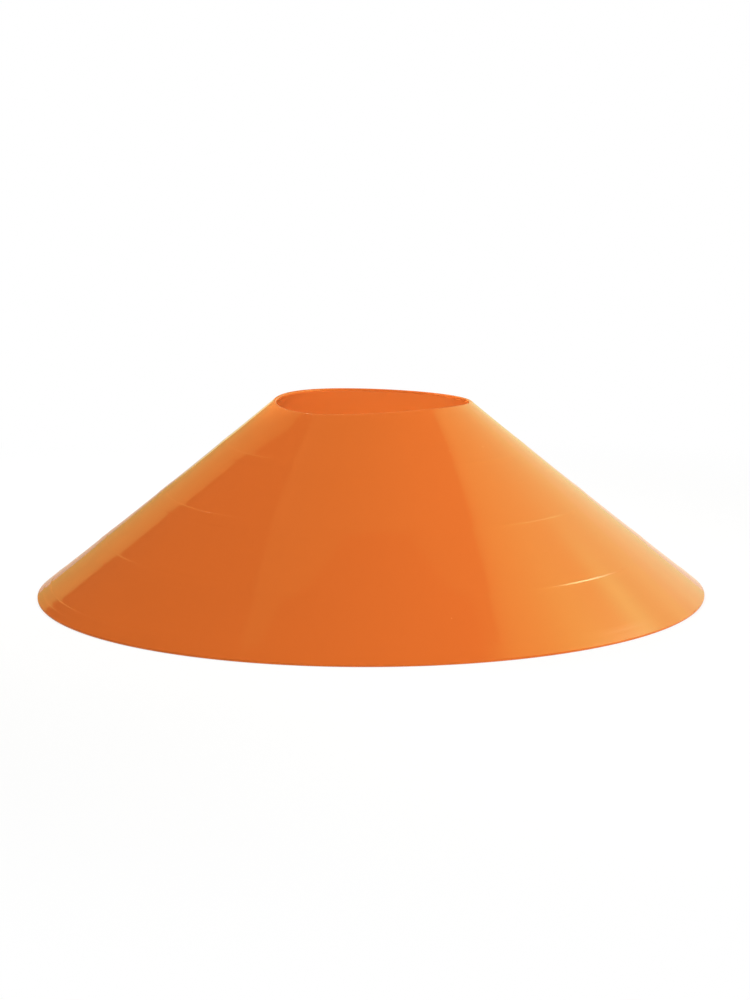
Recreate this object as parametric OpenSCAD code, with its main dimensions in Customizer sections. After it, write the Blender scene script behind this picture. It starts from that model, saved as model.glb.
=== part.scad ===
// Sports marker cone: a low open cone, moulded in one piece from soft plastic.
// It stands on its base edge and has a round hole in its top.
// The origin is on the ground at the centre of the base, with +Z up.

/* [Cone] */
// Diameter across the base edge
base_d = 190; // [170:1:220]
// Height from the ground to the top of the lip
cone_h = 55.5; // [45:0.5:65]
// Thickness of the moulded wall
wall_t = 1.2; // [0.9:0.1:1.6]
// How far the sloping wall sinks inward halfway up
wall_sag = 0.25; // [0:0.05:1]

/* [Hole] */
// Diameter of the hole in the top
hole_d = 54; // [46:0.5:60]
// Length of the straight wall inside the hole
hole_land = 1; // [0.6:0.1:3]
// Radius of the rounded lip around the hole
lip_round = 0.7; // [0.4:0.1:1]

/* [Rings] */
// Number of raised rings on the slope
ring_count = 3; // [1:1:3]
// Width of a raised ring, up the slope
ring_w = 3.8; // [2.5:0.1:6]
// Distance between neighbouring rings, up the slope
ring_pitch = 21.8; // [18:0.2:23]
// Distance from the base edge up the slope to the lowest ring
ring_start = 21.3; // [17:0.1:24]
// Height of a ring above the wall
ring_rise = 0.15; // [0.1:0.05:0.4]
// Width of the sloping shoulder on each side of a ring
ring_shoulder = 0.4; // [0.2:0.1:0.8]

/* [Foot] */
// Height of the upright edge at the base
foot_h = 0.6; // [0.5:0.1:2]
// Width of the flat face that the cone stands on
foot_w = 2.6; // [2.4:0.1:4]
// Distance from the base edge up the slope to the ring that marks off the foot
foot_ring_start = 3.2; // [2:0.1:6]
// Width of the ring that marks off the foot, up the slope
foot_ring_w = 2.4; // [2:0.1:4]
// Radius of the small moulded edges at the foot and under the lip
edge_round = 0.3; // [0.1:0.1:0.4]

/* [Hidden] */
$fn = 96;
shell_colour = [0.93, 0.43, 0.13];
// Straight steps in a rounded edge, and in the inner side of the sagging wall
round_steps = 6;
inner_steps = 6;

base_r = base_d / 2;
hole_r = hole_d / 2;
// Centre of the lip's round section
lip_centre = [hole_r + lip_round, cone_h - lip_round];
// The wall's straight run goes from the top of the foot to where it meets the lip's round
foot_to_lip = lip_centre - [base_r, foot_h];
slope = atan2(foot_to_lip[1], -foot_to_lip[0]) + asin(lip_round / norm(foot_to_lip));
wall_len = sqrt(foot_to_lip * foot_to_lip - lip_round * lip_round);
up_slope = [-cos(slope), sin(slope)];
off_wall = [sin(slope), cos(slope)];

// Lower end of the hole's straight wall
land_z = lip_centre[1] - hole_land;
// Where the inner side of the wall starts at the foot and ends under the lip
inner_from = (foot_w - wall_t * off_wall[0]) / -up_slope[0];
inner_to = (land_z - edge_round - foot_h + wall_t * off_wall[1]) / up_slope[1];

// Point at a distance along the slope and a height above the sagging wall
function on_wall(along, above) =
    let (share = along / wall_len)
    [base_r, foot_h] + along * up_slope + (above - 4 * wall_sag * share * (1 - share)) * off_wall;

// Points of a rounded edge about a centre, from one angle to another
function rounded(centre, radius, from, to) =
    [for (i = [0 : round_steps])
        let (angle = from + (to - from) * i / round_steps)
        centre + radius * [cos(angle), sin(angle)]];

// Outline of one raised ring that starts at a distance up the slope
function ring_outline(start, width) =
    [on_wall(start, 0),
     on_wall(start + ring_shoulder, ring_rise),
     on_wall(start + width - ring_shoulder, ring_rise),
     on_wall(start + width, 0)];

// Starts of the raised rings that fit between the foot and the lip
ring_starts = [for (i = [0 : ring_count - 1])
    let (start = ring_start + i * ring_pitch)
    if (start + ring_w < wall_len) start];

foot_edge = rounded([base_r - edge_round, edge_round], edge_round, -90, 0);
outer_side = concat(
    [on_wall(0, 0)],
    ring_outline(foot_ring_start, foot_ring_w),
    [for (start = ring_starts) each ring_outline(start, ring_w)]);
lip = concat(
    rounded(lip_centre, lip_round, 90 - slope, 180),
    rounded([hole_r + edge_round, land_z], edge_round, 180, 270));
inner_side = [for (i = [0 : inner_steps])
    on_wall(inner_to + (inner_from - inner_to) * i / inner_steps, -wall_t)];
foot_heel = rounded([base_r - foot_w + edge_round, edge_round], edge_round, 180, 270);

// The whole moulding is its wall section turned about the upright axis
module cone_shell() {
    color(shell_colour)
        rotate_extrude()
            polygon(concat(foot_edge, outer_side, lip, inner_side, foot_heel));
}

cone_shell();
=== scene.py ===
"""Sports marker cone: its looks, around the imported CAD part.

Every length is in millimetres until the mesh is made, which is in metres.
The azimuth of a point is counted from the front, where the camera is, to the right.
"""
import math
import random
from collections import namedtuple

import bpy
import numpy as np
from mathutils import Matrix, Vector


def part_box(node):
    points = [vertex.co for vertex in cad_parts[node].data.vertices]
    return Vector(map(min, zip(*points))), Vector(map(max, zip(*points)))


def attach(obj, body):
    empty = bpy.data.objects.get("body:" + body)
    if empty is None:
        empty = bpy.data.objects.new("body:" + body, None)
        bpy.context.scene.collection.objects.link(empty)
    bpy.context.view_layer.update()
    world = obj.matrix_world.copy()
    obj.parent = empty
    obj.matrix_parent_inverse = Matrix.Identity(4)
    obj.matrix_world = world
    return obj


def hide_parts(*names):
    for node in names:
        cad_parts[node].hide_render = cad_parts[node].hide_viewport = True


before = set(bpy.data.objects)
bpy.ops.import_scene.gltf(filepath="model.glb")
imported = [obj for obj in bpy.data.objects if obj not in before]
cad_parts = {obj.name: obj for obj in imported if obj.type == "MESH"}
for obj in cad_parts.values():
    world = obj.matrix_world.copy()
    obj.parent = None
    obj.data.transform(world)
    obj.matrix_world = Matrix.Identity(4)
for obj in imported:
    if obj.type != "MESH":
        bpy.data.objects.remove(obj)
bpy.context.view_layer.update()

MM = 0.001
low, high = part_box("cone_shell")

# Sizes of the moulding
INSIDE_PART = 0.02                      # how far the base edge stays inside the part's
BASE_R = (high.x - low.x) / 2 / MM - INSIDE_PART
WALL_T = 1.2
HOLE_R = 27.3
LIP_Z = 54.5                            # mean height of the lip, which rises and dips around it
LIP_ROUND = 0.55
LIP_RUN = 6.0                           # over which the wall thins to the lip on its inner side
LIP_GAP = 0.2                           # from the lip's round to the first point of the inner side
FOOT_H = 0.6                            # upright edge at the base
FOOT_W = 2.6                            # flat ring that the cone stands on
EDGE_ROUND = 0.3
WALL_SAG = 0.25                         # how far the whole slope sinks in halfway up
ZONE_SAG = 0.03                         # how far the wall sinks between two rings
LONG_ZONE = 5.0                         # a plain zone of the wall sinks if it is longer than this
LOWER_RISE, LOWER_SHOULDER = 0.07, 0.7  # height and width of a ring's lower shoulder
UPPER_RISE, UPPER_SHOULDER = 0.043, 0.5  # and of its upper one; the ring's top slopes between them

# A ring starts at a distance up the slope from the base edge and is so wide up the slope.
# Its lower and its upper shoulder have these shares of the full rise.
Ring = namedtuple("Ring", "start width lower upper")
RINGS = (
    Ring(start=0.6, width=1.8, lower=0.0, upper=0.8),   # faint line just above the base edge
    Ring(start=2.75, width=2.4, lower=0.1, upper=1.5),  # marks off the foot
    Ring(start=20.3, width=4.8, lower=1.0, upper=1.0),
    Ring(start=42.4, width=4.5, lower=1.0, upper=1.0),
    Ring(start=64.9, width=3.8, lower=0.7, upper=1.0),
)

# Unevenness of the soft moulding
# A ring's shoulder has worn faint over a stretch: azimuth of its middle and half its width, in degrees
Worn = namedtuple("Worn", "middle half")
LOWER_WORN = (Worn(-27.0, 64.0), Worn(75.0, 12.0))
UPPER_WORN = (Worn(28.0, 62.0),)
LOWER_LEFT, UPPER_LEFT = 0.25, 0.12     # share of its height that is left of a worn shoulder
WORN_FADE = 12.0                        # degrees over which it fades
# The lip rises and dips so many times around it, by a height, with a high point at an azimuth in degrees
Rise = namedtuple("Rise", "turns height azimuth")
LIP_RISES = (Rise(1, 0.13, -90.0), Rise(2, 0.625, 45.0), Rise(3, 0.148, 16.4))
LIP_SHIFT = 0.69                        # the hole sits a little to the right
# Gentle waves in the wall: how many, the highest, the share of it that one has, and its turns and ups
SEED = 7
WAVES = 14
WAVE_HEIGHT = 0.012
WAVE_SHARES = (0.4, 1.0)
WAVE_TURNS = (3, 13)
WAVE_UPS = (1, 4)

# Points of the mesh around the cone, and along each kind of stretch of its wall section
SEGMENTS = 384
LONG_ZONE_POINTS, SHORT_ZONE_POINTS = 12, 4
SHOULDER_POINTS, RING_TOP_POINTS = 8, 6
FOOT_POINTS, HEEL_POINTS, LIP_POINTS = 6, 5, 30
THINNING_POINTS, INNER_POINTS = 8, 30


def smooth(t):
    """Ramp from 0 to 1 that starts and ends level."""
    t = min(max(t, 0.0), 1.0)
    return t * t * (3 - 2 * t)


def arch(share):
    """Parabola that is 0 at both ends of a stretch and 1 halfway."""
    return 4 * share * (1 - share)


def crisp(azimuth, stretches, left):
    """Share of a shoulder's height that the worn stretches leave at an azimuth in degrees."""
    share = 1.0
    for worn in stretches:
        away = abs((azimuth - worn.middle + 180) % 360 - 180)
        share = min(share, left + (1 - left) * smooth((away - worn.half) / WORN_FADE + 0.5))
    return share


# The wall runs from the top of the foot to where it meets the lip's round
lip_centre = Vector((HOLE_R + LIP_ROUND, LIP_Z - LIP_ROUND))
foot_top = Vector((BASE_R, FOOT_H))
foot_to_lip = lip_centre - foot_top
slope = math.atan2(foot_to_lip.y, -foot_to_lip.x) + math.asin(LIP_ROUND / foot_to_lip.length)
wall_len = math.sqrt(foot_to_lip.length_squared - LIP_ROUND ** 2)
up_slope = Vector((-math.cos(slope), math.sin(slope)))
off_wall = Vector((math.sin(slope), math.cos(slope)))

# Plain zones of the wall, below, between and above the rings
zone_starts = [0.0] + [ring.start + ring.width for ring in RINGS]
zone_ends = [ring.start for ring in RINGS] + [wall_len]
zones = list(zip(zone_starts, zone_ends))


def relief(s, lower, upper):
    """Height of the outer side above the sagging wall: the long zones sink, and rings rise between them.
    lower and upper are the heights of a full ring at its two shoulders."""
    height = 0.0
    for ring in RINGS:
        end = ring.start + ring.width
        if ring.start <= s <= end:
            share = (s - ring.start) / ring.width
            up, down = smooth((s - ring.start) / LOWER_SHOULDER), smooth((end - s) / UPPER_SHOULDER)
            height += min(up, down) * (ring.lower * lower * (1 - share) + ring.upper * upper * share)
    for start, end in zones:
        if start < s < end and end - start > LONG_ZONE:
            height -= ZONE_SAG * arch((s - start) / (end - start))
    return height


def on_wall(s, above):
    """Point at a distance up the slope and a height above the sagging wall."""
    return foot_top + s * up_slope + (above - WALL_SAG * arch(s / wall_len)) * off_wall


def rounded(centre, radius, start, end, steps):
    """Points on an arc, in degrees from the outward direction."""
    angles = [math.radians(start + (end - start) * i / steps) for i in range(steps + 1)]
    return [Vector((centre[0] + radius * math.cos(a), centre[1] + radius * math.sin(a))) for a in angles]


def spread(start, end, steps):
    """Evenly spread places from start to just before end."""
    return [start + (end - start) * i / steps for i in range(steps)]


def outer_places():
    """Places up the slope where the outer side gets a point, close together on the shoulders."""
    places = []
    for number, (start, end) in enumerate(zones):
        places += spread(start, end, LONG_ZONE_POINTS if end - start > LONG_ZONE else SHORT_ZONE_POINTS)
        if number < len(RINGS):
            ring_start, ring_end = RINGS[number].start, zone_starts[number + 1]
            top_start, top_end = ring_start + LOWER_SHOULDER, ring_end - UPPER_SHOULDER
            places += spread(ring_start, top_start, SHOULDER_POINTS)
            places += spread(top_start, top_end, RING_TOP_POINTS)
            places += spread(top_end, ring_end, SHOULDER_POINTS)
    return places


def section(lower, upper):
    """The wall section as (radius, height) points, once around it from the foot's outer edge,
    with the numbers of its lip's first point and of the one after its last."""
    points = rounded((BASE_R - EDGE_ROUND, EDGE_ROUND), EDGE_ROUND, -90, 0, FOOT_POINTS)
    points += [on_wall(s, relief(s, lower, upper)) for s in outer_places()]
    lip_start = len(points)
    # The lip is round and a little thinner than the wall
    outward = 90 - math.degrees(slope)
    points += rounded(lip_centre, LIP_ROUND, outward, outward + 180, LIP_POINTS)
    lip_end = len(points)
    thinned_from = wall_len - LIP_RUN
    inner_from = (FOOT_W - WALL_T * off_wall.x) / -up_slope.x
    places = spread(wall_len - LIP_GAP, thinned_from, THINNING_POINTS)
    places += spread(thinned_from, inner_from, INNER_POINTS) + [inner_from]
    for s in places:
        thickness = WALL_T + (2 * LIP_ROUND - WALL_T) * smooth((s - thinned_from) / LIP_RUN)
        points.append(on_wall(s, -thickness))
    points += rounded((BASE_R - FOOT_W + EDGE_ROUND, EDGE_ROUND), EDGE_ROUND, 180, 270, HEEL_POINTS)
    return points, lip_start, lip_end


Wave = namedtuple("Wave", "height turns turned ups lifted")


def make_waves():
    """Gentle waves around and up the wall."""
    draw = random.Random(SEED)
    waves = []
    for _ in range(WAVES):
        turns = draw.randint(*WAVE_TURNS)
        ups = draw.randint(*WAVE_UPS)
        height = WAVE_HEIGHT * draw.uniform(*WAVE_SHARES)
        waves.append(Wave(height, turns, draw.uniform(0, math.tau), ups, draw.uniform(0, math.tau)))
    return waves


def uneven(radius, height, azimuth):
    """Where points of the even moulding lie on the slightly uneven real one."""
    up = np.clip(height / LIP_Z, 0.0, 1.0)
    lift = up * sum(rise.height * np.cos(rise.turns * (azimuth - math.radians(rise.azimuth)))
                    for rise in LIP_RISES)
    swell = arch(up) * sum(wave.height * np.sin(wave.turns * azimuth + wave.turned)
                           * np.sin(math.pi * wave.ups * up + wave.lifted) for wave in make_waves())
    out = radius + swell * off_wall.x
    return np.stack([out * np.sin(azimuth) + LIP_SHIFT * up, -out * np.cos(azimuth),
                     height + lift + swell * off_wall.y], -1)


def shell_vertices():
    """Points of the shell in metres: each point of the section all the way around, one after another."""
    plain, lower, upper = (np.array([tuple(point) for point in section(*rises)[0]])
                           for rises in ((0, 0), (LOWER_RISE, 0), (0, UPPER_RISE)))
    degrees = np.arange(SEGMENTS) * 360 / SEGMENTS
    lower_share = np.array([crisp(d, LOWER_WORN, LOWER_LEFT) for d in degrees])
    upper_share = np.array([crisp(d, UPPER_WORN, UPPER_LEFT) for d in degrees])
    around = (plain[:, None] + lower_share[:, None] * (lower - plain)[:, None]
              + upper_share[:, None] * (upper - plain)[:, None])
    return uneven(around[:, :, 0], around[:, :, 1], np.radians(degrees)).reshape(-1, 3) * MM


def shell_faces(count):
    """Four-sided faces between neighbouring points of the section and neighbouring azimuths."""
    faces = []
    for i in range(count):
        following = (i + 1) % count
        for j in range(SEGMENTS):
            beside = (j + 1) % SEGMENTS
            faces.append((i * SEGMENTS + j, i * SEGMENTS + beside,
                          following * SEGMENTS + beside, following * SEGMENTS + j))
    return faces


def section_shares(points):
    """Place of each point along the closed section, from 0 at the first to 1 back at it."""
    lengths = [0.0]
    for point, following in zip(points, points[1:] + points[:1]):
        lengths.append(lengths[-1] + (following - point).length)
    return [length / lengths[-1] for length in lengths]


def shell_uv(shares):
    """UV corners of the faces: azimuth, and place along the section."""
    coords = []
    for v0, v1 in zip(shares, shares[1:]):
        for j in range(SEGMENTS):
            u0, u1 = j / SEGMENTS, (j + 1) / SEGMENTS
            coords += [u0, v0, u1, v0, u1, v1, u0, v1]
    return coords


def turned_shell(name):
    """The wall section turned about the upright axis, and the two UV heights between which its lip is."""
    points, lip_start, lip_end = section(0, 0)
    shares = section_shares(points)
    mesh = bpy.data.meshes.new(name)
    mesh.from_pydata(shell_vertices().tolist(), [], shell_faces(len(points)))
    mesh.uv_layers.new(name="OFBake").data.foreach_set("uv", shell_uv(shares))
    mesh.polygons.foreach_set("use_smooth", [True] * len(mesh.polygons))
    mesh.validate()
    mesh.update()
    piece = bpy.data.objects.new(name, mesh)
    bpy.context.scene.collection.objects.link(piece)
    return piece, (shares[lip_start], shares[lip_end - 1])


class Nodes:
    """Short calls for the nodes of one material, lamp or world.
    Each input is a value or the output of another node."""

    def __init__(self, owner):
        owner.use_nodes = True
        self.tree = owner.node_tree
        self.tree.nodes.clear()

    def add(self, kind, inputs=None, **settings):
        node = self.tree.nodes.new(kind)
        for key, value in settings.items():
            setattr(node, key, value)
        for key, value in (inputs or {}).items():
            if isinstance(value, bpy.types.NodeSocket):
                self.tree.links.new(value, node.inputs[key])
            else:
                node.inputs[key].default_value = value
        return node

    def calc(self, operation, *values):
        """Result of an operation on numbers."""
        return self.add("ShaderNodeMath", dict(enumerate(values)), operation=operation).outputs[0]

    def vector_math(self, operation, values):
        return self.add("ShaderNodeVectorMath", dict(enumerate(values)), operation=operation).outputs

    def vector(self, operation, *values):
        """Vector that an operation on vectors gives."""
        return self.vector_math(operation, values)["Vector"]

    def measure(self, operation, *values):
        """Number that an operation on vectors gives."""
        return self.vector_math(operation, values)["Value"]

    def noise(self, place, scale, detail):
        """Noise from 0 to 1."""
        inputs = {"Vector": place, "Scale": scale, "Detail": detail}
        return self.add("ShaderNodeTexNoise", inputs).outputs["Fac"]

    def ramp(self, value, start, end, at_start, at_end, kind="LINEAR"):
        """A value that goes from at_start to at_end while the given one goes from start to end."""
        return self.add("ShaderNodeMapRange", {"Value": value, "From Min": start, "From Max": end,
                                               "To Min": at_start, "To Max": at_end},
                        interpolation_type=kind).outputs["Result"]

    def blend(self, share, first, second):
        """A colour between two colours."""
        return self.add("ShaderNodeMix", {0: share, 6: first, 7: second}, data_type="RGBA").outputs[2]


# Plastic
PLASTIC = (0.80, 0.164, 0.028, 1)
PLASTIC_DEEP = (0.78, 0.158, 0.026, 1)
PLASTIC_MARK = (0.90, 0.24, 0.06, 1)
GLOSS_TINT = (1.0, 1.0, 0.35, 1)        # its reflections are a little yellow
IOR = 1.5
POLISH = (0.035, 0.055)                 # roughness of the wall, which varies with its mottle
LIP_ROUGHNESS = 0.22                    # the trimmed lip is duller than the wall
LIP_BAND = 1.2                          # width of the dull band, as a share of the lip's
MOTTLE = 28.0                           # scale of the mottled colour, per metre
STREAKS = 14.0                          # how closely the plastic's faint streaks stand around the wall
STREAK_CHANGE = 8.0                     # how fast they change up the wall, per metre
STREAK_SHARE = 0.5                      # of the streaks, beside the mottle, in the change of colour
GRAIN = 900.0                           # scale of the surface's fine grain, per metre
NOISE_DETAIL, GRAIN_DETAIL = 3.0, 2.0
GRAIN_STRENGTH, GRAIN_DEPTH = 0.02, 0.2
MARK_RISE = 4.0                         # how many times as high as the grain a pimple stands
# Tiny pimples of the moulding: azimuth in degrees, distance from the axis and radius
Mark = namedtuple("Mark", "azimuth distance radius")
MARKS = (Mark(14.1, 83.9, 0.28), Mark(31.5, 40.0, 0.25), Mark(49.1, 40.0, 0.3))


def marked_share(n, flat):
    """How much of a place is a pimple, from 0 to 1, where flat is the place without its height."""
    share = 0.0
    for mark in MARKS:
        angle = math.radians(mark.azimuth)
        shift = LIP_SHIFT * (BASE_R - mark.distance) / (BASE_R - HOLE_R)
        spot = ((mark.distance * math.sin(angle) + shift) * MM, -mark.distance * math.cos(angle) * MM, 0)
        from_spot = n.measure("DISTANCE", flat, spot)
        share = n.calc("ADD", share, n.ramp(from_spot, 0.0, mark.radius * MM, 1.0, 0.0, "SMOOTHSTEP"))
    return share


def orange_plastic(lip_from, lip_to):
    """Glossy orange plastic, duller between the two UV heights of the lip."""
    material = bpy.data.materials.new("moulded_orange_plastic")
    n = Nodes(material)
    place = n.add("ShaderNodeTexCoord").outputs["Object"]
    mottle = n.noise(place, MOTTLE, NOISE_DETAIL)
    # Streaks run up the wall, so they change fast with the bearing and slowly with the height
    flat = n.vector("MULTIPLY", place, (1, 1, 0))
    bearing = n.vector("NORMALIZE", flat)
    stretched = n.vector("MULTIPLY_ADD", place, (0, 0, STREAK_CHANGE), bearing)
    streaks = n.noise(stretched, STREAKS, NOISE_DETAIL)
    tone = n.add("ShaderNodeMix", {0: STREAK_SHARE, 2: mottle, 3: streaks}).outputs[0]
    marked = marked_share(n, flat)
    colour = n.blend(marked, n.blend(tone, PLASTIC_DEEP, PLASTIC), PLASTIC_MARK)

    uv = n.add("ShaderNodeUVMap", uv_map="OFBake").outputs["UV"]
    along = n.add("ShaderNodeSeparateXYZ", {"Vector": uv}).outputs["Y"]
    half = (lip_to - lip_from) / 2
    on_lip = n.calc("COMPARE", along, lip_from + half, half * LIP_BAND)
    polish = n.ramp(mottle, 0.0, 1.0, *POLISH)
    roughness = n.ramp(on_lip, 0.0, 1.0, polish, LIP_ROUGHNESS)

    grain = n.noise(place, GRAIN, GRAIN_DETAIL)
    raised = n.calc("MULTIPLY_ADD", marked, MARK_RISE, grain)
    bump = n.add("ShaderNodeBump", {"Height": raised, "Strength": GRAIN_STRENGTH,
                                    "Distance": GRAIN_DEPTH * MM})
    shader = n.add("ShaderNodeBsdfPrincipled", {"Base Color": colour, "Roughness": roughness,
                                                "Normal": bump.outputs["Normal"], "IOR": IOR,
                                                "Specular Tint": GLOSS_TINT})
    n.add("ShaderNodeOutputMaterial", {"Surface": shader.outputs["BSDF"]})
    return material


shell, lip_range = turned_shell("moulded_shell")
shell.data.materials.append(orange_plastic(*lip_range))
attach(shell, "root")
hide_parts("cone_shell")


# Floor and backdrop
CARD_Z = 255.0                          # height of the cards overhead, and of the backdrop's mirrored glow
FLOOR_SIDE, FLOOR_FRONT = 1500, -1500
BACKDROP_Y = 1200.0
BACKDROP_LEFT, BACKDROP_RIGHT = -290, 1030
BACKDROP_H = 600.0
WHITE = (1, 1, 1, 1)
FLOOR_WHITE = (0.95, 0.95, 0.95, 1)
SHADOW_SHARE = 0.2                      # share of the floor's white that takes shadows
SHADOW_REACH = (120.0, 320.0)           # distances from the axis between which it fades to nothing
# The warm white of the backdrop and of the floor, as the glossy plastic mirrors them
BACKDROP_MIRRORED = (0.95, 1.0, 0.52, 1)
FLOOR_MIRRORED = (1.0, 0.88, 0.68, 1)
BACKDROP_LEVELS = (1.0, 1.22)           # at the floor, and at CARD_Z
FLOOR_LEVELS = (0.62, 1.05)             # to the left and to the right of the object
FLOOR_TURN = (-120.0, 120.0)            # between which the floor's mirrored level changes
# The matte disc under the hollow of the cone: how far inside the base edge, how high, and its corners
UNDER_INSET, UNDER_Z, UNDER_CORNERS = 1.0, 0.02, 64


def matte_white(n):
    """The studio's white where it takes light and shadow."""
    return n.add("ShaderNodeBsdfDiffuse", {"Color": FLOOR_WHITE}).outputs[0]


def plain_white(name):
    """White that takes light and shadow everywhere."""
    material = bpy.data.materials.new(name)
    n = Nodes(material)
    n.add("ShaderNodeOutputMaterial", {"Surface": matte_white(n)})
    return material


def studio_white(name, shadowed, mirrored_colour, levels, axis, reach):
    """White to the camera and in reflections, matte to all other light.
    The mirrored level goes from the first to the second one over the reach on the axis, and ends at CARD_Z.
    Near the object the share shadowed of what the camera sees is matte, and shows its shadow."""
    material = bpy.data.materials.new(name)
    n = Nodes(material)
    path = n.add("ShaderNodeLightPath").outputs
    mirror = n.calc("MAXIMUM", path["Is Glossy Ray"], path["Is Transmission Ray"])
    shown = n.calc("MAXIMUM", path["Is Camera Ray"], mirror)
    place = n.add("ShaderNodeTexCoord").outputs["Object"]
    along = n.add("ShaderNodeSeparateXYZ", {"Vector": place}).outputs
    level = n.ramp(along[axis], reach[0] * MM, reach[1] * MM, *levels)
    ended = n.calc("MULTIPLY", level, n.calc("LESS_THAN", along["Z"], CARD_Z * MM))
    glow = n.add("ShaderNodeEmission", {"Color": n.blend(mirror, WHITE, mirrored_colour),
                                        "Strength": n.ramp(mirror, 0.0, 1.0, 1.0, ended)}).outputs[0]
    away = n.measure("LENGTH", place)
    near = n.ramp(away, SHADOW_REACH[0] * MM, SHADOW_REACH[1] * MM, shadowed, 0.0, "SMOOTHSTEP")
    share = n.calc("MULTIPLY", near, path["Is Camera Ray"])
    matte = matte_white(n)
    both = n.add("ShaderNodeMixShader", {0: share, 1: glow, 2: matte}).outputs[0]
    surface = n.add("ShaderNodeMixShader", {0: shown, 1: matte, 2: both}).outputs[0]
    n.add("ShaderNodeOutputMaterial", {"Surface": surface})
    return material


def sheet_of(name, corners, material):
    """A flat piece of the studio."""
    mesh = bpy.data.meshes.new(name)
    mesh.from_pydata([[c * MM for c in corner] for corner in corners], [], [tuple(range(len(corners)))])
    mesh.materials.append(material)
    piece = bpy.data.objects.new(name, mesh)
    bpy.context.scene.collection.objects.link(piece)


under_r = BASE_R - UNDER_INSET
under_angles = [math.tau * i / UNDER_CORNERS for i in range(UNDER_CORNERS)]
sheet_of("floor_under", [(under_r * math.cos(a), under_r * math.sin(a), UNDER_Z) for a in under_angles],
         plain_white("floor_white"))
sheet_of("floor", [(-FLOOR_SIDE, FLOOR_FRONT, 0), (FLOOR_SIDE, FLOOR_FRONT, 0),
                   (FLOOR_SIDE, BACKDROP_Y, 0), (-FLOOR_SIDE, BACKDROP_Y, 0)],
         studio_white("floor_glow", SHADOW_SHARE, FLOOR_MIRRORED, FLOOR_LEVELS, "X", FLOOR_TURN))
sheet_of("backdrop", [(BACKDROP_LEFT, BACKDROP_Y, 0), (BACKDROP_RIGHT, BACKDROP_Y, 0),
                      (BACKDROP_RIGHT, BACKDROP_Y, BACKDROP_H), (BACKDROP_LEFT, BACKDROP_Y, BACKDROP_H)],
         studio_white("backdrop_glow", 0.0, BACKDROP_MIRRORED, BACKDROP_LEVELS, "Z", (0.0, CARD_Z)))


# Light
# Colours of the cards as the plastic mirrors them, and of the lamp that shades the inside
CARD_TINT = (1.0, 1.0, 0.44)
LEFT_TINT = (1.0, 0.98, 0.27)
RIGHT_TINT = (0.75, 1.0, 0.44)
FAR_TINT = (0.88, 1.0, 0.5)
BRIGHT_TINT = (0.15, 1.0, 0.44)         # the brightest places add little red, which is near its full already
TUBE_TINT = (1.0, 1.0, 0.95)
INSIDE_TINT = (0.61, 1.03, 1.1)
SHARP = 0.1                             # width of a lamp's edge that isn't soft
NEAR_SIZE = 120.0                       # side of a small square lamp near the cone
CONE_MIDDLE = (0.0, 0.0, 25.0)

# A bright place on a lamp: its level, its middle from the lamp's corner, its bearing in degrees, and how far
# it spreads along that bearing and across it
Bell = namedtuple("Bell", "level middle bearing spread")


def soft_card(name, corner, along, across, radiance=1.0):
    """A soft rectangular lamp, given by a corner and two edges. It shines to the back of along x across."""
    along, across = Vector(along), Vector(across)
    data = bpy.data.lights.new(name, "AREA")
    data.shape = "RECTANGLE"
    data.size, data.size_y = along.length * MM, across.length * MM
    data.energy = radiance * math.pi * data.size * data.size_y
    x, y = along.normalized(), across.normalized()
    turn = Matrix((x, y, x.cross(y))).transposed().to_4x4()
    turn.translation = (Vector(corner) + (along + across) / 2) * MM
    lamp = bpy.data.objects.new(name, data)
    lamp.matrix_world = turn
    bpy.context.scene.collection.objects.link(lamp)
    return lamp


def add_bell(n, place, size, bell, level):
    """The level at a place on a lamp of a size, with a bell-shaped bright place added."""
    from_middle = n.add("ShaderNodeMapping", {"Vector": place, "Scale": (*size, 1.0),
                                              "Location": (-bell.middle[0], -bell.middle[1], 0.0)})
    turned = n.add("ShaderNodeVectorRotate", {"Vector": from_middle.outputs[0],
                                              "Angle": -math.radians(bell.bearing)}, rotation_type="Z_AXIS")
    per_spread = (1 / bell.spread[0], 1 / bell.spread[1], 0.0)
    shares = n.vector("MULTIPLY", turned.outputs[0], per_spread)
    square = n.measure("DOT_PRODUCT", shares, shares)
    return n.calc("MULTIPLY_ADD", n.calc("EXPONENT", n.calc("MULTIPLY", square, -0.5)), bell.level, level)


def glow_from(lamp, level, bells=(), soft_left=SHARP, soft_far=SHARP, left_share=0.0):
    """Gives a rectangular lamp an even glow plus bell-shaped bright places.
    The light grows to full over soft widths from the left and the far edge; the left edge has left_share."""
    wide, deep = lamp.data.size / MM, lamp.data.size_y / MM
    n = Nodes(lamp.data)
    place = n.add("ShaderNodeNewGeometry").outputs["Parametric"]
    for bell in bells:
        level = add_bell(n, place, (wide, deep), bell, level)
    edges = n.add("ShaderNodeSeparateXYZ", {"Vector": place}).outputs
    left = n.ramp(edges["X"], 0.0, soft_left / wide, left_share, 1.0, "SMOOTHSTEP")
    far = n.ramp(edges["Y"], 1.0, 1.0 - soft_far / deep, 0.0, 1.0, "SMOOTHSTEP")
    strength = n.calc("MULTIPLY", level, n.calc("MULTIPLY", left, far))
    glow = n.add("ShaderNodeEmission", {"Color": WHITE, "Strength": strength})
    n.add("ShaderNodeOutputLight", {"Surface": glow.outputs[0]})


def mirrored(lamp, tint=CARD_TINT):
    """A card that the glossy plastic mirrors, and that adds nothing to its plain shading."""
    lamp.visible_diffuse = False
    lamp.data.color = tint
    return lamp


def shading(lamp):
    """A lamp that shades the plastic and isn't mirrored in it."""
    lamp.visible_glossy = False
    return lamp


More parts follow.
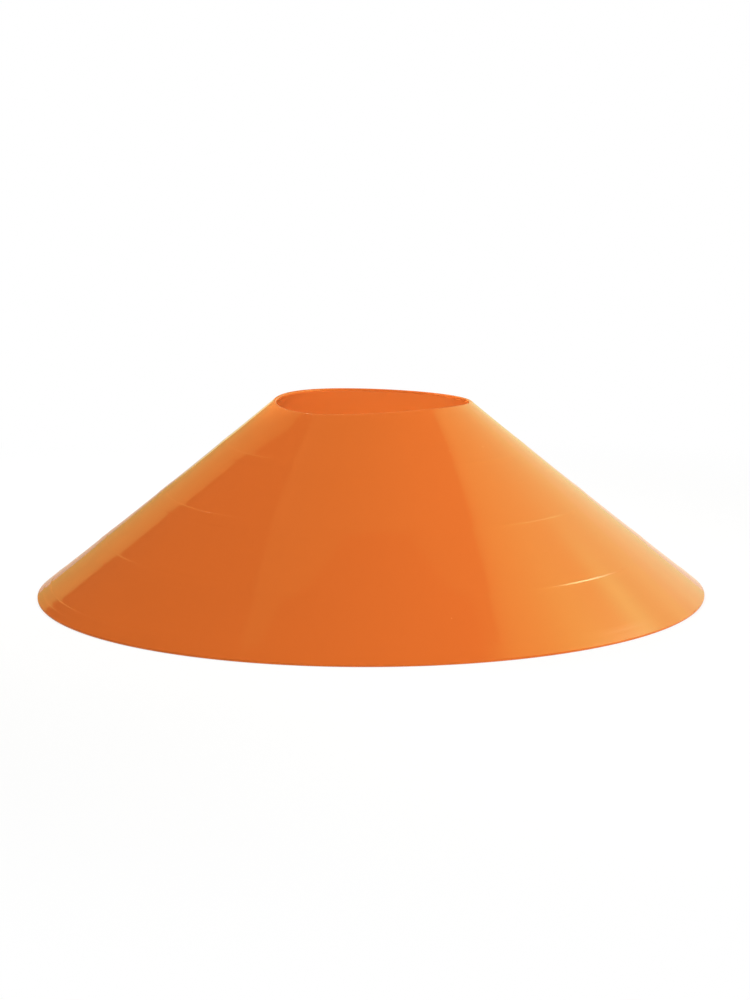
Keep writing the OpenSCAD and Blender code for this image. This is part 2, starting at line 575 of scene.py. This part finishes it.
def near_lamp(name, place, radiance, size=NEAR_SIZE, target=CONE_MIDDLE):
    """A small soft square lamp close to the cone and pointed at it, which only shades."""
    lamp = shading(soft_card(name, (0, 0, 0), (size, 0, 0), (0, size, 0), radiance))
    aim = (Vector(target) - Vector(place)).to_track_quat("-Z", "Y").to_matrix().to_4x4()
    aim.translation = Vector(place) * MM
    lamp.matrix_world = aim
    lamp.visible_camera = False
    return lamp


CARD_GAP = 1                            # overhead cards that overlap lie so far apart in height

# The card above the cone's top
ABOVE_CORNER, ABOVE_SIZE, ABOVE_LEVEL = (-135, -53), (270, 150), 0.22
# The card on the left, whose near edge runs to the right and back from its corner, and the one that goes on
# from its far edge down to the floor
LEFT_CORNER, LEFT_FAR_CORNER = (-172, 121), (-804, 1257)
LEFT_ALONG, LEFT_ACROSS = Vector((0.874, 0.486, 0)), Vector((-0.486, 0.874, 0))
LEFT_LENGTH, LEFT_DEPTH, LEFT_FAR_LENGTH = 420, 1300, 800
LEFT_LEVEL, LEFT_FAR_LEVEL = 0.39, 0.37
LEFT_SOFT, LEFT_SHARE = 30.0, 0.85

mirrored(soft_card("card_above", (*ABOVE_CORNER, CARD_Z), (ABOVE_SIZE[0], 0, 0), (0, ABOVE_SIZE[1], 0),
                   ABOVE_LEVEL))
back_left = mirrored(soft_card("card_back_left", (*LEFT_CORNER, CARD_Z + CARD_GAP), LEFT_ALONG * LEFT_LENGTH,
                               LEFT_ACROSS * LEFT_DEPTH), LEFT_TINT)
glow_from(back_left, LEFT_LEVEL, soft_left=LEFT_SOFT, left_share=LEFT_SHARE)
mirrored(soft_card("card_far_left", (*LEFT_FAR_CORNER, 0), (0, 0, CARD_Z), LEFT_ALONG * LEFT_FAR_LENGTH,
                   LEFT_FAR_LEVEL), LEFT_TINT)

# The softbox on the right reaches back to the backdrop, and its far part is a little whiter
SOFTBOX_X, SOFTBOX_Y, SOFTBOX_W = 108.0, -200.0, 592.0  # its near left corner, and its width
NEAR_PART = 800.0                       # depth of its near part
SOFT_LEFT = 52.0                        # over which its light grows from the left edge
SOFTBOX_LEVEL = 1.2
SOFTBOX_BELLS = (Bell(0.14, (222, 690), 63.0, (130, 110)), Bell(0.35, (385, 705), 63.0, (100, 60)),
                 Bell(0.15, (452, 1100), 60.0, (350, 80)))
# Its brightest places, in a sheet of their own, and one place that is less bright
BRIGHT_BELLS = (Bell(0.85, (233, 350), 65.0, (140, 70)), Bell(0.7, (213, 395), 60.0, (50, 24)),
                Bell(0.9, (138, 228), 55.0, (60, 34)), Bell(-0.35, (177, 340), 60.0, (45, 25)))
BRIGHT_SOFT_FAR = 190.0
# Its side wall on the right, from the far end to the near end
SIDE_FAR_Y, SIDE_LENGTH, SIDE_LEVEL = 700, 1000, 1.8
# The bright tube inside the softbox, which only the lower shoulders of the rings mirror
TUBE_CORNER, TUBE_SIZE = (200, -120), (360, 560)
TUBE_BELL = Bell(10.0, (127, 186), 63.0, (92, 22))


def further(bell, shift):
    """The same bright place, for a lamp that starts further back."""
    return bell._replace(middle=(bell.middle[0], bell.middle[1] - shift))


softbox_wide, softbox_deep = (SOFTBOX_W, 0, 0), (0, NEAR_PART, 0)
softbox = mirrored(soft_card("softbox_right", (SOFTBOX_X, SOFTBOX_Y, CARD_Z), softbox_wide, softbox_deep),
                   RIGHT_TINT)
glow_from(softbox, SOFTBOX_LEVEL, SOFTBOX_BELLS, soft_left=SOFT_LEFT)
far_part = mirrored(soft_card("softbox_far", (SOFTBOX_X, SOFTBOX_Y + NEAR_PART, CARD_Z), softbox_wide,
                              (0, BACKDROP_Y - SOFTBOX_Y - NEAR_PART, 0)), FAR_TINT)
glow_from(far_part, SOFTBOX_LEVEL, [further(bell, NEAR_PART) for bell in SOFTBOX_BELLS])
bright = mirrored(soft_card("softbox_bright", (SOFTBOX_X, SOFTBOX_Y, CARD_Z + CARD_GAP), softbox_wide,
                            softbox_deep), BRIGHT_TINT)
glow_from(bright, 0.0, BRIGHT_BELLS, soft_left=SOFT_LEFT, soft_far=BRIGHT_SOFT_FAR)
mirrored(soft_card("softbox_side", (SOFTBOX_X + SOFTBOX_W, SIDE_FAR_Y, 0), (0, 0, CARD_Z),
                   (0, -SIDE_LENGTH, 0), SIDE_LEVEL))
tube = mirrored(soft_card("softbox_tube", (*TUBE_CORNER, CARD_Z - CARD_GAP), (TUBE_SIZE[0], 0, 0),
                          (0, TUBE_SIZE[1], 0)), TUBE_TINT)
glow_from(tube, 0.0, (TUBE_BELL,))

# Large lamps around the studio that shade the plastic
Card = namedtuple("Card", "name radiance corner along across")
for card in (
    Card("overhead", 0.64, corner=(-500, -500, 700), along=(1000, 0, 0), across=(0, 1000, 0)),
    Card("front", 0.43, corner=(-450, -1100, 200), along=(900, 0, 0), across=(0, 300, 700)),
    Card("front_left", 0.98, corner=(-1000, -550, 300), along=(500, -500, 0), across=(150, 150, 500)),
    Card("right", 1.8, corner=(1100, -350, 100), along=(0, 700, 0), across=(0, 0, 600)),
):
    shading(soft_card(card.name, card.corner, card.along, card.across, card.radiance))

# Small ones near the cone, and a narrow one for the wall just inside the lip on the right
near_lamp("near_low_right", place=(170, -420, 120), radiance=2.85)
near_lamp("near_front", place=(100, -250, 170), radiance=2.65)
near_lamp("near_right", place=(120, 0, 220), radiance=0.4)
near_lamp("near_far_right", place=(330, -150, 330), radiance=12.2)
near_lamp("near_back_left", place=(-140, 200, 260), radiance=17.4)
near_lamp("near_top", place=(0, -20, 300), radiance=0.85)
LIP_FILL_SIZE, LIP_FILL_SPREAD = 30.0, 22   # the spread in degrees
INSIDE_LIP = (25.0, 10.0, 49.0)
lip_fill = near_lamp("lip_fill", (-75, -5, 85), radiance=0.6, size=LIP_FILL_SIZE, target=INSIDE_LIP)
lip_fill.data.spread = math.radians(LIP_FILL_SPREAD)

# One in the hollow of the cone, facing up, in place of the light that comes through the thin wall
inside = shading(soft_card("inside", corner=(-25, 50, 1), along=(100, 0, 0), across=(0, -100, 0),
                           radiance=1.7))
inside.visible_camera = False
inside.data.color = INSIDE_TINT

# The world is white to the camera and nearly dark to everything else
AROUND = (0.08, 0.08, 0.04, 1)
world = bpy.data.worlds.new("studio")
bpy.context.scene.world = world
n = Nodes(world)
seen = n.add("ShaderNodeLightPath").outputs["Is Camera Ray"]
sky = n.add("ShaderNodeBackground", {"Color": n.blend(seen, AROUND, WHITE), "Strength": 1.0})
n.add("ShaderNodeOutputWorld", {"Surface": sky.outputs[0]})

# Camera
CAMERA = (1.319, -680.26, 142.92)
LOOK_AT = (1.23, 0.0, 25.885)
CAMERA_ROLL = -0.178                    # degrees, the camera's own tilt to one side
LENS, SENSOR = 87.01, 36                # the focal length and the sensor's width
CLIP_START = 10

camera_data = bpy.data.cameras.new("camera")
camera_data.sensor_width = SENSOR
camera_data.lens = LENS
camera_data.clip_start = CLIP_START * MM
camera = bpy.data.objects.new("camera", camera_data)
camera.location = Vector(CAMERA) * MM
aim = (Vector(LOOK_AT) - Vector(CAMERA)).to_track_quat("-Z", "Y").to_matrix()
camera.rotation_euler = (aim @ Matrix.Rotation(math.radians(CAMERA_ROLL), 3, "Z")).to_euler()
bpy.context.scene.collection.objects.link(camera)
bpy.context.scene.camera = camera
bpy.context.scene.view_settings.view_transform = "Standard"
